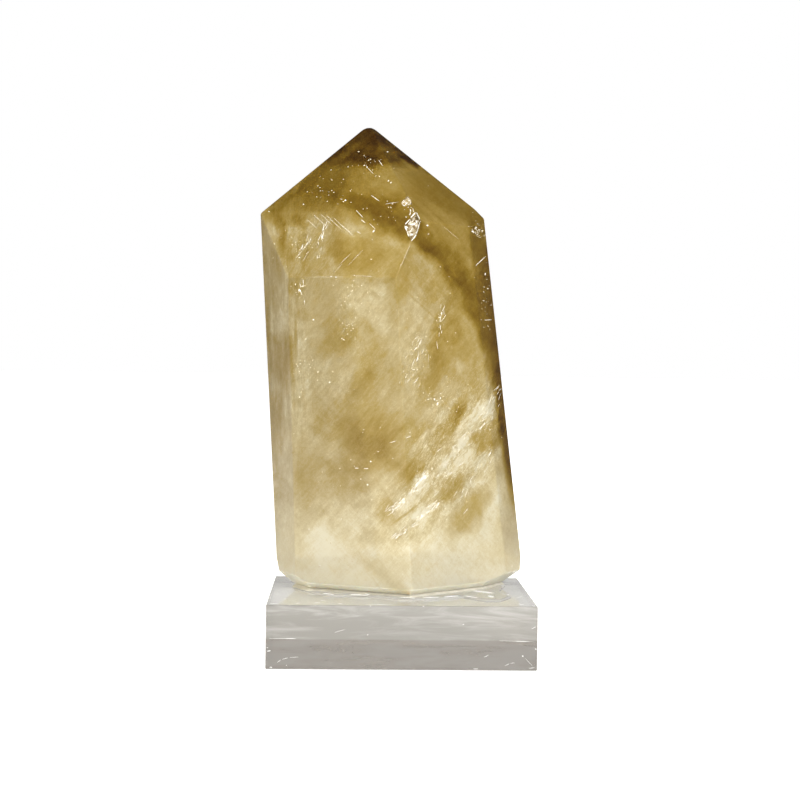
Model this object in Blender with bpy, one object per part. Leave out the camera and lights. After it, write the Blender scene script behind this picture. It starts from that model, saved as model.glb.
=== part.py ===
"""A polished citrine point, glued upright on a clear acrylic block.

The origin is the middle of the block's underside. +Z is up, and the crystal's
front edge faces -Y. Lengths are in metres.
"""
from math import cos, radians, sin, tan

import bmesh
import bpy
from mathutils import Matrix, Vector

MM = 0.001
UP = Vector((0.0, 0.0, 1.0))

# The acrylic block, with its sharp edges just broken.
BLOCK_WIDTH = 80.0 * MM
BLOCK_DEPTH = 60.0 * MM
BLOCK_HEIGHT = 19.0 * MM
BLOCK_EDGE = 0.4 * MM
EDGE_SEGMENTS = 2

# The glue film between the block and the crystal, as it crept out around the foot:
# (x, y) in mm, counter-clockwise from the left.
JOINT_GAP = 0.3 * MM
FILM_THICKNESS = 0.6 * MM
FILM_CORNER = 1.2 * MM
FILM_CORNER_SEGMENTS = 3
FILM_OUTLINE = [
    (-31, 9), (-30, 0), (-26, -9), (-20, -13.5), (-13, -12), (-5, -15), (4, -19), (12, -17),
    (19, -13.5), (25, -20.5), (30, -20.5), (34, -12), (31, -2), (33, 6), (34.5, 12.5),
    (24, 20), (3, 28.5), (-15, 19),
]

# The crystal stands on the film. Its own origin is the middle of its foot.
FOOT_HEIGHT = BLOCK_HEIGHT + JOINT_GAP + FILM_THICKNESS + JOINT_GAP
ROUGH_STONE = 400.0 * MM
TIP = Vector((-11.1, 14.4, 145.7)) * MM
TIP_WEAR = 3.2 * MM
TIP_SEGMENTS = 2
SMALLEST_EDGE = 1.0 * MM
POLISHED_EDGE = 0.35 * MM
SHARP_EDGE = 6.0
WELD = 0.1 * MM

# Each side facet: the compass direction that it faces (0 is +X, 90 is +Y), how far
# it tips upwards, its distance from the middle of the foot, and the rise and the
# run of the bevel ground along its foot. Angles are in degrees, lengths in mm.
SIDE_FACETS = [
    (-113.0, 0.2, 17.5, 2.0, 3.2),
    (-51.5, 3.6, 18.0, 2.0, 3.2),
    (-34.0, 5.3, 26.0, 4.0, 5.5),
    (65.5, 4.0, 28.7, 8.0, 3.0),
    (121.5, -4.7, 24.7, 8.0, 3.0),
    (-150.5, -1.3, 30.6, 4.0, 4.5),
]

# Each facet of the point: the direction that it faces and how far it tips
# upwards. They all meet at the tip.
POINT_FACETS = [
    (-113.0, 27.5),
    (-50.0, 41.7),
    (40.0, 42.6),
    (85.0, 28.0),
    (110.0, 30.0),
    (145.0, 43.2),
]

# The small facet that takes off the right shoulder: direction, tip upwards, distance.
SHOULDER_FACET = (-46.5, 24.0, 57.0)

# The chip on the edge between the front facets of the point: a deep flake, a small one
# above it and a shallow scar between them. Each has its middle, then how far it reaches
# in below that, then its corners (across, along) from its middle. Lengths are in mm.
CHIPS = [
    ((2.6, -11.0, 131.5), 1.7,
     [(1.1, 5.8), (2.4, 1.9), (0.9, -3.4), (-0.9, -5.4), (-1.9, -1.3), (-3.0, 0.9), (-1.0, 3.0)]),
    ((0.4, -5.8, 139.8), 1.2, [(-1.9, -0.4), (0.7, 2.6), (1.9, 1.6), (2.0, -1.3), (-0.7, -2.0)]),
    ((2.0, -8.1, 136.6), 0.7, [(0.3, 2.2), (1.7, -0.2), (1.4, -1.6), (-0.2, -3.0), (-1.8, 1.2)]),
]
CHIP_FACES = (-88.0, 25.0)
CHIP_START = 1.0 * MM
CHIP_TAPER = 0.8

# Colour, roughness, index of refraction and transmission of each material.
CLEAR_ACRYLIC = ((0.90, 0.91, 0.92), 0.03, 1.49, 1.0)
CLEAR_GLUE = ((0.94, 0.94, 0.92), 0.08, 1.48, 1.0)
CITRINE = ((0.72, 0.58, 0.28), 0.05, 1.544, 0.8)


def facing(azimuth, tip):
    """Unit vector that faces a compass direction and tips upwards, both in degrees."""
    level = cos(radians(tip))
    return Vector((cos(radians(azimuth)) * level, sin(radians(azimuth)) * level, sin(radians(tip))))


def clear_objects():
    for item in list(bpy.data.objects):
        bpy.data.objects.remove(item, do_unlink=True)


def clear_material(name, colour, roughness, ior, transmission):
    finish = bpy.data.materials.new(name)
    finish.use_nodes = True
    shader = finish.node_tree.nodes["Principled BSDF"]
    shader.inputs["Base Color"].default_value = (*colour, 1.0)
    shader.inputs["Roughness"].default_value = roughness
    shader.inputs["IOR"].default_value = ior
    shader.inputs["Transmission Weight"].default_value = transmission
    shader.inputs["Metallic"].default_value = 0.0
    finish.diffuse_color = (*colour, 1.0)
    return finish


def add_object(name, bm, finish, parent, height):
    mesh = bpy.data.meshes.new(name)
    bm.to_mesh(mesh)
    bm.free()
    mesh.materials.append(finish)
    item = bpy.data.objects.new(name, mesh)
    bpy.context.scene.collection.objects.link(item)
    item.parent = parent
    item.location = UP * height
    return item


def bevel(bm, geometry, offset, segments, affect="EDGES"):
    bmesh.ops.bevel(bm, geom=geometry, offset=offset, offset_type="OFFSET", segments=segments,
                    profile=0.5, affect=affect, clamp_overlap=True, material=-1)


def round_edges(bm, width):
    """Bevel every edge whose faces turn by more than SHARP_EDGE degrees."""
    sharp = [edge for edge in bm.edges if edge.calc_face_angle(0.0) > radians(SHARP_EDGE)]
    bevel(bm, sharp, width, EDGE_SEGMENTS)


def grind(bm, point, normal):
    """Cut the solid flat where the plane passes, and close the cut with one face."""
    everything = bm.verts[:] + bm.edges[:] + bm.faces[:]
    cut = bmesh.ops.bisect_plane(bm, geom=everything, dist=1e-7, plane_co=point, plane_no=normal,
                                 clear_outer=True)
    rim = [item for item in cut["geom_cut"] if isinstance(item, bmesh.types.BMEdge)]
    if rim:
        bmesh.ops.edgeloop_fill(bm, edges=rim)


def grind_foot_bevel(bm, azimuth, tip, distance, rise, run):
    """Take off the edge between a side facet and the foot, rise up the facet and run in."""
    outward = facing(azimuth, 0.0)
    at_foot = distance / cos(radians(tip))
    at_rise = at_foot - rise * tan(radians(tip))
    top = outward * at_rise + UP * rise
    normal = outward * rise - UP * (at_rise - at_foot + run)
    grind(bm, top * MM, normal.normalized())


def acrylic_block(parent):
    bm = bmesh.new()
    bmesh.ops.create_cube(bm, size=1.0)
    bmesh.ops.scale(bm, vec=(BLOCK_WIDTH, BLOCK_DEPTH, BLOCK_HEIGHT), verts=bm.verts)
    round_edges(bm, BLOCK_EDGE)
    finish = clear_material("clear_acrylic", *CLEAR_ACRYLIC)
    add_object("acrylic_block", bm, finish, parent, BLOCK_HEIGHT / 2)


def glue_film(parent):
    bm = bmesh.new()
    sheet = bm.faces.new([bm.verts.new((x * MM, y * MM, 0.0)) for x, y in FILM_OUTLINE])
    raised = bmesh.ops.extrude_face_region(bm, geom=[sheet])["geom"]
    lifted = [item for item in raised if isinstance(item, bmesh.types.BMVert)]
    bmesh.ops.translate(bm, vec=UP * FILM_THICKNESS, verts=lifted)
    upright = [edge for edge in bm.edges if (edge.verts[0] in lifted) != (edge.verts[1] in lifted)]
    bevel(bm, upright, FILM_CORNER, FILM_CORNER_SEGMENTS)
    bmesh.ops.recalc_face_normals(bm, faces=bm.faces)
    finish = clear_material("clear_glue", *CLEAR_GLUE)
    add_object("glue_film", bm, finish, parent, BLOCK_HEIGHT + JOINT_GAP)


def citrine_point(parent):
    bm = bmesh.new()
    bmesh.ops.create_cube(bm, size=ROUGH_STONE)
    grind(bm, Vector(), -UP)
    for azimuth, tip, distance, rise, run in SIDE_FACETS:
        grind(bm, facing(azimuth, tip) * distance * MM, facing(azimuth, tip))
    for azimuth, tip in POINT_FACETS:
        grind(bm, TIP, facing(azimuth, tip))
    azimuth, tip, distance = SHOULDER_FACET
    grind(bm, facing(azimuth, tip) * distance * MM, facing(azimuth, tip))
    for side in SIDE_FACETS:
        grind_foot_bevel(bm, *side)
    bmesh.ops.remove_doubles(bm, verts=bm.verts, dist=SMALLEST_EDGE)
    tip_corner = max(bm.verts, key=lambda corner: corner.co.z)
    bevel(bm, [tip_corner], TIP_WEAR, TIP_SEGMENTS, affect="VERTICES")
    round_edges(bm, POLISHED_EDGE)
    bmesh.ops.remove_doubles(bm, verts=bm.verts, dist=WELD)
    bmesh.ops.recalc_face_normals(bm, faces=bm.faces)
    finish = clear_material("citrine", *CITRINE)
    crystal = add_object("citrine_point", bm, finish, parent, FOOT_HEIGHT)
    chipped = crystal.modifiers.new("chips", "BOOLEAN")
    chipped.operation = "DIFFERENCE"
    chipped.solver = "EXACT"
    chipped.use_self = True
    chipped.object = chip_cutter(parent)


def chip_cutter(parent):
    """Angular plugs that narrow inwards, set along the edge that the flakes broke from."""
    bm = bmesh.new()
    outward = facing(*CHIP_FACES)
    along = (UP - outward * outward.z).normalized()
    across = along.cross(outward)
    for middle, depth, corners in CHIPS:
        mouth = Vector(middle) * MM - UP * FOOT_HEIGHT + outward * CHIP_START
        outline = [mouth + (across * x + along * y) * MM for x, y in corners]
        lid = bm.faces.new([bm.verts.new(corner) for corner in outline])
        floor = [item for item in bmesh.ops.extrude_face_region(bm, geom=[lid], use_keep_orig=True)["geom"]
                 if isinstance(item, bmesh.types.BMVert)]
        bmesh.ops.translate(bm, vec=-outward * (CHIP_START + depth * MM), verts=floor)
        centre = sum((corner.co for corner in floor), Vector()) / len(floor)
        bmesh.ops.scale(bm, vec=Vector((1, 1, 1)) * CHIP_TAPER, verts=floor, space=Matrix.Translation(-centre))
    bmesh.ops.recalc_face_normals(bm, faces=bm.faces)
    cutter = add_object("chip_cutter", bm, None, parent, FOOT_HEIGHT)
    cutter.hide_render = True
    cutter.display_type = "WIRE"
    return cutter


clear_objects()
specimen = bpy.data.objects.new("specimen", None)
bpy.context.scene.collection.objects.link(specimen)
acrylic_block(specimen)
glue_film(specimen)
citrine_point(specimen)
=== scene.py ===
from math import cos, pi, radians, sin
from random import Random

import bmesh
import bpy
from mathutils import Matrix, Vector, noise
from mathutils.bvhtree import BVHTree


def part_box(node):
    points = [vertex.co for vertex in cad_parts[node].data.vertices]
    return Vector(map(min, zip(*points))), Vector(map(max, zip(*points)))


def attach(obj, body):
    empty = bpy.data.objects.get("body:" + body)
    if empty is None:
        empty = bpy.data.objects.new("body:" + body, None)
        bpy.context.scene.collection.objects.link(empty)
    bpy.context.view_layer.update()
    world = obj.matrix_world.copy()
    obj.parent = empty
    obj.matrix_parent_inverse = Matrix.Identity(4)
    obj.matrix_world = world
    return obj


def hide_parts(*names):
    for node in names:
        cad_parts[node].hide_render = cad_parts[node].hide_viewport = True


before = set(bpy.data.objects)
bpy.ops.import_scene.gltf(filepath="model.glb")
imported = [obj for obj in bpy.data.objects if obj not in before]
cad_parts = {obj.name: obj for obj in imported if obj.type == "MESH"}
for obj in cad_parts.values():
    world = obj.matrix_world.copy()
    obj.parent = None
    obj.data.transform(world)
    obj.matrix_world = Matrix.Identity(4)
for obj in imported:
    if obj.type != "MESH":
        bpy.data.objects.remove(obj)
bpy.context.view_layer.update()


# The display block: one piece of clear cast acrylic, sawn from 19 mm sheet, with its
# faces buffed and its edges just broken. Handling has left it hazed, with fine
# scratches and a few nicked edges.
MM = 0.001
BLOCK_LOW, BLOCK_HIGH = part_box("acrylic_block")


def fill_socket(tree, socket, value):
    """Link an output to the socket or set its value, where a colour needs no alpha."""
    if isinstance(value, bpy.types.NodeSocket):
        tree.links.new(value, socket)
    elif socket.type == "RGBA":
        socket.default_value = (*value, 1.0)
    else:
        socket.default_value = value


def add_node(tree, kind, settings=None, **inputs):
    """A shader node with its settings and its inputs, each given by its name or as _ and its number."""
    made = tree.nodes.new("ShaderNode" + kind)
    for name, value in (settings or {}).items():
        setattr(made, name, value)
    for name, value in inputs.items():
        fill_socket(tree, made.inputs[int(name[1:]) if name[1:].isdigit() else name], value)
    return made


def new_material(name):
    """A material with its node tree, its Principled shader and its Object coordinates."""
    finish = bpy.data.materials.new(name)
    finish.use_nodes = True
    tree = finish.node_tree
    shader = tree.nodes["Principled BSDF"]
    place = add_node(tree, "TexCoord").outputs["Object"]
    return finish, tree, shader, place


def noise_at(tree, place, scale, detail=2.0, roughness=0.5, distortion=0.0):
    """Noise as a value and as a colour from 0 to 1, with scale in lumps per unit of place."""
    made = add_node(tree, "TexNoise", Vector=place, Scale=scale, Detail=detail, Roughness=roughness,
                    Distortion=distortion)
    return made.outputs[0], made.outputs[1]


def between(tree, value, low, high, to_low=0.0, to_high=1.0):
    """A value's ramp from low to high, with smooth ends."""
    made = add_node(tree, "MapRange", {"interpolation_type": "SMOOTHSTEP"}, _0=value, _1=low, _2=high,
                    _3=to_low, _4=to_high)
    return made.outputs[0]


def sums(tree, operation, a, b=0.0, c=0.0):
    """Arithmetic on up to three values."""
    return add_node(tree, "Math", {"operation": operation}, _0=a, _1=b, _2=c).outputs[0]


def blend_colours(tree, share, first, second):
    """The first colour at share 0, running to the second at share 1."""
    return add_node(tree, "Mix", {"data_type": "RGBA"}, _0=share, _6=first, _7=second).outputs[2]


def bump(tree, height, strength, distance):
    return add_node(tree, "Bump", Strength=strength, Distance=distance, Height=height).outputs[0]


def add_piece(name, bm, finishes, body="root"):
    """A finished piece at the origin, riding on the body."""
    mesh = bpy.data.meshes.new(name)
    bm.to_mesh(mesh)
    bm.free()
    for finish in finishes:
        mesh.materials.append(finish)
    piece = bpy.data.objects.new(name, mesh)
    bpy.context.scene.collection.objects.link(piece)
    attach(piece, body)
    return piece


# The haze lies in level streaks, so many to the metre along each axis. Its lower, greyer
# layer ends between these heights. Each pair of colours runs from thin to thick haze. The
# top's pair is lighter: painted reflection, the backdrop and the crystal seen in the top at a grazing
# angle.
HAZE_STREAKS = (45.0, 45.0, 330.0)
HAZE_LAYER = (8.6 * MM, 9.2 * MM)
HAZE_BELOW = ((0.38, 0.347, 0.31), (0.44, 0.42, 0.392))
HAZE_ABOVE = ((0.49, 0.475, 0.44), (0.80, 0.79, 0.755))
TOP_HAZE_AND_REFLECTION = ((0.65, 0.63, 0.575), (0.85, 0.83, 0.78))
UNDERSIDE = (0.93, 0.93, 0.91)
BLOCK_EDGE = 0.25 * MM


def acrylic():
    """Clear acrylic with a cloudy, streaked haze, a grey cast in its depth and a top painted lighter as a
    reflection.
    """
    finish, tree, shader, place = new_material("hazed_acrylic")
    streaks = add_node(tree, "Mapping", Vector=place, Scale=HAZE_STREAKS).outputs[0]
    haze, _ = noise_at(tree, streaks, 1.0, detail=5.0, roughness=0.62, distortion=0.9)
    broad, _ = noise_at(tree, streaks, 0.35)
    height = add_node(tree, "SeparateXYZ", Vector=place).outputs[2]
    upper = between(tree, height, *HAZE_LAYER)
    patches = between(tree, broad, 0.3, 0.6, 0.4, 1.0)
    cloud = sums(tree, "MULTIPLY", between(tree, haze, 0.42, 0.72), patches)
    below = blend_colours(tree, between(tree, haze, 0.3, 0.7), *HAZE_BELOW)
    above = blend_colours(tree, cloud, *HAZE_ABOVE)
    at_foot = between(tree, height, BLOCK_EDGE, 0.0)
    sides = blend_colours(tree, at_foot, blend_colours(tree, upper, below, above), UNDERSIDE)
    # The top is blended to lighter colours: painted reflection laid over its haze.
    at_top = between(tree, height, BLOCK_HIGH.z - BLOCK_EDGE, BLOCK_HIGH.z)
    top_haze_and_reflection = blend_colours(tree, cloud, *TOP_HAZE_AND_REFLECTION)
    tree.links.new(blend_colours(tree, at_top, sides, top_haze_and_reflection), shader.inputs["Base Color"])
    rough = between(tree, haze, 0.35, 0.8, 0.10, 0.18)
    tree.links.new(rough, shader.inputs["Roughness"])
    shader.inputs["IOR"].default_value = 1.49
    shader.inputs["Transmission Weight"].default_value = 0.62
    depth = add_node(tree, "VolumeAbsorption", Color=(0.55, 0.51, 0.45), Density=9.0)
    tree.links.new(depth.outputs[0], tree.nodes["Material Output"].inputs["Volume"])
    fine, _ = noise_at(tree, place, 900.0)
    tree.links.new(bump(tree, fine, strength=0.05, distance=0.05 * MM), shader.inputs["Normal"])
    return finish


def acrylic_block():
    bm = bmesh.new()
    bmesh.ops.create_cube(bm, size=1.0)
    bmesh.ops.scale(bm, vec=BLOCK_HIGH - BLOCK_LOW, verts=bm.verts)
    bmesh.ops.translate(bm, vec=(BLOCK_LOW + BLOCK_HIGH) / 2, verts=bm.verts)
    bmesh.ops.bevel(bm, geom=bm.edges[:], offset=BLOCK_EDGE, offset_type="OFFSET", segments=3,
                    profile=0.5, affect="EDGES", clamp_overlap=True, material=-1)
    piece = add_piece("hazed_acrylic_block", bm, [acrylic()])
    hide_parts("acrylic_block")


acrylic_block()


# Wear on the block: scratches, nicked edges and the bright line where two castings of
# the sheet meet. All of it is scuffed white acrylic, in slivers sunk half into the faces.
# Strokes in mm: from, to and half width, on the front as (x, z) and on the top as (x, y).
FRONT_STROKES = [
    ((-36.6, 2.0), (-35.3, 2.9), 0.09), ((-35.3, 2.9), (-33.2, 3.5), 0.09),
    ((-33.2, 3.5), (-30.0, 3.7), 0.07), ((-39.6, 5.3), (-38.4, 5.5), 0.22),
    ((-39.7, 6.4), (-39.2, 6.3), 0.15), ((35.4, 4.5), (35.9, 4.3), 0.28),
    ((36.1, 4.0), (38.9, 1.2), 0.06), ((30.4, 1.4), (31.8, 2.2), 0.08), ((31.8, 2.2), (33.4, 2.4), 0.08),
    ((39.2, 6.6), (39.8, 6.4), 0.25), ((-39.7, 9.1), (-32.0, 9.1), 0.07),
    ((-35.0, 9.1), (-30.8, 9.1), 0.12), ((27.5, 8.9), (39.7, 8.7), 0.07),
    ((33.0, 8.8), (37.6, 8.7), 0.16), ((-34.0, 1.2), (-33.6, 1.2), 0.12),
    ((-38.9, 0.6), (-37.9, 0.5), 0.14), ((-38.4, 0.9), (-38.0, 0.4), 0.1),
    ((21.0, 0.5), (22.6, 0.5), 0.14), ((24.0, 3.9), (25.8, 4.7), 0.07),
    ((17.8, 13.6), (18.2, 13.6), 0.16), ((-10.2, 10.5), (-9.9, 10.2), 0.12),
    ((38.0, 12.4), (39.6, 13.2), 0.09), ((37.4, 0.8), (39.4, 1.0), 0.12),
    ((-20.1, 10.9), (-16.4, 12.0), 0.06),
]
TOP_STROKES = [
    ((-37.6, -9.2), (-37.2, -9.6), 0.25), ((-35.1, -18.9), (-34.7, -19.4), 0.3),
    ((-31.5, -27.0), (-30.0, -26.2), 0.2), ((-26.0, -25.0), (-24.0, -25.8), 0.2),
    ((-24.6, -21.0), (-22.0, -22.2), 0.15), ((-19.0, -26.4), (-17.4, -27.6), 0.3),
    ((-39.4, -27.5), (-36.0, -28.6), 0.2), ((34.4, -24.8), (36.4, -26.5), 0.15),
    ((38.2, -27.9), (39.5, -28.9), 0.25), ((-37.0, 12.0), (-30.0, 14.0), 0.15),
    ((-36.0, 20.0), (-27.0, 20.6), 0.2), ((33.0, 17.0), (36.6, 16.2), 0.2),
    ((-35.5, 4.0), (-31.0, 2.2), 0.12), ((35.0, -14.0), (37.5, -10.0), 0.08),
    ((-12.0, -27.5), (-2.0, -28.2), 0.08),
]

# Nicks in the front edge of the top: x, then half length.
EDGE_NICKS = [
    (-33.0, 0.2), (-25.5, 0.2), (-9.4, 0.30), (-0.6, 0.16), (6.2, 0.34), (17.5, 0.2), (27.6, 0.16),
]
NICK_RISE = 0.1 * MM
STROKE_RISE = 0.04 * MM
STROKE_THIN = 0.55


def sliver(bm, start, end, wide, normal, rise):
    """A 20-faced sliver from start to end, in metres, that lies flat on the skin with that normal."""
    along = end - start
    flat = (along - normal * along.dot(normal)).normalized()
    turned = Matrix((flat, normal.cross(flat), normal)).transposed().to_4x4()
    size = Matrix.Diagonal((along.length / 2, wide, rise, 1.0))
    at = Matrix.Translation((start + end) / 2)
    bmesh.ops.create_icosphere(bm, subdivisions=1, radius=1.0, matrix=at @ turned @ size)


# White scuffed acrylic, also used for the painted highlights on the glue.
def scuffs_and_highlights():
    finish, tree, shader, place = new_material("scuffs_and_highlights")
    powder, _ = noise_at(tree, place, 1500.0, detail=3.0)
    tint = blend_colours(tree, between(tree, powder, 0.35, 0.65), (0.86, 0.86, 0.84), (1.0, 1.0, 0.99))
    tree.links.new(tint, shader.inputs["Base Color"])
    shader.inputs["Roughness"].default_value = 0.6
    return finish


def block_wear():
    bm = bmesh.new()
    for start, end, wide in FRONT_STROKES:
        ends = [Vector((x * MM, BLOCK_LOW.y, z * MM)) for x, z in (start, end)]
        sliver(bm, *ends, wide * STROKE_THIN * MM, Vector((0, -1, 0)), STROKE_RISE)
    for start, end, wide in TOP_STROKES:
        ends = [Vector((x * MM, y * MM, BLOCK_HIGH.z)) for x, y in (start, end)]
        sliver(bm, *ends, wide * STROKE_THIN * MM, Vector((0, 0, 1)), STROKE_RISE)
    for x, reach in EDGE_NICKS:
        edge = Vector((x * MM, BLOCK_LOW.y + BLOCK_EDGE / 2, BLOCK_HIGH.z - BLOCK_EDGE / 2))
        half = Vector((reach * MM, 0, 0))
        sliver(bm, edge - half, edge + half, reach * MM / 2, Vector((0, -0.7, 0.7)), NICK_RISE)
    add_piece("worn_block_marks", bm, [scuffs_and_highlights()])


block_wear()


# The glue: slightly milky resin that crept out around the crystal's foot and set there
# with a low, rounded, glossy rim and a fillet that is squeezed up against the foot. White
# slivers on its top are painted highlights, where it catches the light. Colours run from dull to bright.
GLUE_BOTTOM = BLOCK_HIGH.z + 0.02 * MM
GLUE_RIM = 0.16 * MM
CLEAR_GLUE = ((0.93, 0.91, 0.86), (0.99, 0.98, 0.95))
MILKY_GLUE = ((0.80, 0.76, 0.64), (0.92, 0.88, 0.77))

# How the layer's top steps in and up from its rim, in mm, and how it waves.
GLUE_SHOULDERS = [(0.35, 0.14), (0.7, 0.12), (1.2, 0.10)]
WAVE_HEIGHT, WAVE_LENGTH = 0.1 * MM, 5 * MM

# How much wider than the crystal's foot the fillet is, and how far it sinks in the layer.
FILLET_SPREAD = 1.035
FILLET_SINK = 0.02 * MM

# Painted highlights along the glue, as white slivers, in mm: from (x, y), to (x, y), half width.
HIGHLIGHT_RISE = 0.12 * MM
GLUE_HIGHLIGHTS = [
    ((22.4, -2.6), (29.4, -8.0), 1.3), ((26.9, -12.2), (27.9, -16.4), 0.9),
    ((-11.4, -9.9), (-9.2, -13.2), 0.3), ((-16.0, -12.6), (-9.4, -13.6), 0.25),
    ((-1.0, -17.4), (4.6, -18.6), 0.35), ((6.0, -17.8), (12.0, -16.4), 0.3),
    ((12.6, -16.0), (18.0, -13.4), 0.35), ((32.6, -9.0), (33.4, -11.5), 0.2),
    ((19.0, -13.0), (23.5, -17.5), 0.25), ((-24.0, -10.6), (-20.0, -13.0), 0.3),
]


def merged_copy(node):
    """A CAD node's mesh with its triangles joined up and its flat faces made whole."""
    bm = bmesh.new()
    bm.from_mesh(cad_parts[node].data)
    bmesh.ops.remove_doubles(bm, verts=bm.verts, dist=0.001 * MM)
    bmesh.ops.dissolve_limit(bm, angle_limit=radians(0.3), verts=bm.verts, edges=bm.edges)
    return bm


def glue(name, clearness, dull, bright):
    finish, tree, shader, place = new_material(name)
    ripple, _ = noise_at(tree, place, 350.0)
    tint = blend_colours(tree, between(tree, ripple, 0.3, 0.7), dull, bright)
    tree.links.new(tint, shader.inputs["Base Color"])
    tree.links.new(bump(tree, ripple, strength=0.3, distance=0.2 * MM), shader.inputs["Normal"])
    shader.inputs["Roughness"].default_value = 0.12
    shader.inputs["IOR"].default_value = 1.48
    shader.inputs["Transmission Weight"].default_value = clearness
    return finish


def glue_layer():
    bm = merged_copy("glue_film")
    middle = sum((vert.co.z for vert in bm.verts)) / len(bm.verts)
    for vert in bm.verts:
        vert.co.z = GLUE_BOTTOM + (GLUE_RIM if vert.co.z > middle else 0.0)
    lid = max(bm.faces, key=lambda face: face.calc_center_median().z + face.calc_area())
    for inset, lift in GLUE_SHOULDERS:
        bmesh.ops.inset_region(bm, faces=[lid], thickness=inset * MM, use_even_offset=True)
        bmesh.ops.translate(bm, vec=(0, 0, lift * MM), verts=lid.verts)
    for vert in lid.verts:
        vert.co.z += WAVE_HEIGHT * noise.noise(vert.co / WAVE_LENGTH)
    piece = add_piece("set_glue_layer", bm, [glue("set_glue", 0.6, *CLEAR_GLUE)])
    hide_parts("glue_film")


def glue_highlights():
    # White slivers on the glue's top: painted highlights where it catches the light.
    highlight_slivers = bmesh.new()
    top = GLUE_BOTTOM + GLUE_RIM + sum(lift for _, lift in GLUE_SHOULDERS) * MM
    for start, end, wide in GLUE_HIGHLIGHTS:
        ends = [Vector((x * MM, y * MM, top)) for x, y in (start, end)]
        sliver(highlight_slivers, *ends, wide * MM, Vector((0, 0, 1)), HIGHLIGHT_RISE)
    add_piece("glue_highlights", highlight_slivers, [scuffs_and_highlights()])


def glue_fillet():
    """A skirt from the crystal's foot down into the layer, which closes the joint."""
    bm = merged_copy("citrine_point")
    foot = min(bm.faces, key=lambda face: face.calc_center_median().z)
    bmesh.ops.delete(bm, geom=[face for face in bm.faces if face is not foot], context="FACES")
    rim = bmesh.ops.extrude_face_region(bm, geom=bm.faces[:], use_keep_orig=True)["geom"]
    spread = [item for item in rim if isinstance(item, bmesh.types.BMVert)]
    centre = sum((vert.co for vert in spread), Vector()) / len(spread)
    bmesh.ops.scale(bm, vec=(FILLET_SPREAD, FILLET_SPREAD, 1), verts=spread,
                    space=Matrix.Translation(-centre))
    bmesh.ops.translate(bm, vec=(0, 0, GLUE_BOTTOM + GLUE_RIM - centre.z), verts=spread)
    bmesh.ops.translate(bm, vec=(0, 0, -FILLET_SINK), verts=bm.verts)
    bmesh.ops.recalc_face_normals(bm, faces=bm.faces)
    add_piece("glue_fillet", bm, [glue("milky_glue", 0.2, *MILKY_GLUE)])


glue_layer()
glue_highlights()
glue_fillet()


# The crystal: one grown piece of citrine, cut to six side facets and a six-sided
# point, then polished. Smoke lies in its tip and down its right side, milk clouds its
# middle, and its foot is pale cream. A chip on its front edge shows the break.
QUARTZ_IOR = 1.544


def zone_group():
    """A soft-edged ellipsoid in the stone: 1 inside, 0 outside, in millimetres."""
    group = bpy.data.node_groups.new("growth_zone", "ShaderNodeTree")
    for name, kind, start in (("Place", "NodeSocketVector", None), ("Centre", "NodeSocketVector", None),
                              ("Turn", "NodeSocketVector", None), ("Size", "NodeSocketVector", None),
                              ("Edge", "NodeSocketFloat", 0.3), ("Strength", "NodeSocketFloat", 1.0)):
        socket = group.interface.new_socket(name, in_out="INPUT", socket_type=kind)
        if start is not None:
            socket.default_value = start
    group.interface.new_socket("Mask", in_out="OUTPUT", socket_type="NodeSocketFloat")
    given = group.nodes.new("NodeGroupInput").outputs
    offset = add_node(group, "VectorMath", {"operation": "SUBTRACT"}, _0=given["Place"], _1=given["Centre"])
    turned = add_node(group, "VectorRotate", {"rotation_type": "EULER_XYZ", "invert": True},
                      Vector=offset.outputs[0], Rotation=given["Turn"])
    scaled = add_node(group, "VectorMath", {"operation": "DIVIDE"}, _0=turned.outputs[0], _1=given["Size"])
    reach = add_node(group, "VectorMath", {"operation": "LENGTH"}, _0=scaled.outputs[0]).outputs["Value"]
    inner = sums(group, "SUBTRACT", 1.0, given["Edge"])
    outer = sums(group, "ADD", 1.0, given["Edge"])
    mask = between(group, reach, outer, inner)
    result = group.nodes.new("NodeGroupOutput")
    group.links.new(sums(group, "MULTIPLY", mask, given["Strength"]), result.inputs["Mask"])
    return group


ZONE = zone_group()


def zone(tree, place, centre, size, lean=0.0, edge=0.3, strength=1.0):
    made = tree.nodes.new("ShaderNodeGroup")
    made.node_tree = ZONE
    tree.links.new(place, made.inputs["Place"])
    made.inputs["Centre"].default_value = centre
    made.inputs["Size"].default_value = size
    made.inputs["Turn"].default_value = (0.0, radians(lean), 0.0)
    made.inputs["Edge"].default_value = edge
    made.inputs["Strength"].default_value = strength
    return made.outputs["Mask"]


# The stone's colour against its milkiness, from dark smoke to white milk.
STONE = [
    (0.00, (0.040, 0.014, 0.000)),
    (0.18, (0.130, 0.065, 0.003)),
    (0.36, (0.255, 0.156, 0.012)),
    (0.52, (0.382, 0.258, 0.050)),
    (0.66, (0.490, 0.367, 0.121)),
    (0.80, (0.615, 0.508, 0.268)),
    (0.91, (0.785, 0.690, 0.432)),
    (1.00, (0.950, 0.900, 0.700)),
]

# Zones through the whole depth of the stone, in mm: centre, half sizes (along, deep,
# across), lean of the along axis down to the right in degrees, edge, milkiness, strength.
THROUGH = [
    ((0, 5, 12), (80, 80, 34), 0, 0.5, 0.93, 1.0),
    ((0, 5, 20), (80, 80, 5), 0, 0.7, 1.0, 0.8),
    ((-9, 5, 148), (60, 60, 13), 0, 0.35, 0.41, 0.95),
    ((-11, 12, 168), (34, 40, 16.6), 0, 0.16, 0.03, 1.0),
    ((28, 8, 112), (26, 60, 4.6), 84, 0.45, 0.18, 1.0),
    ((31, 8, 87), (7, 60, 2.8), 80, 0.6, 0.30, 1.0),
]

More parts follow.
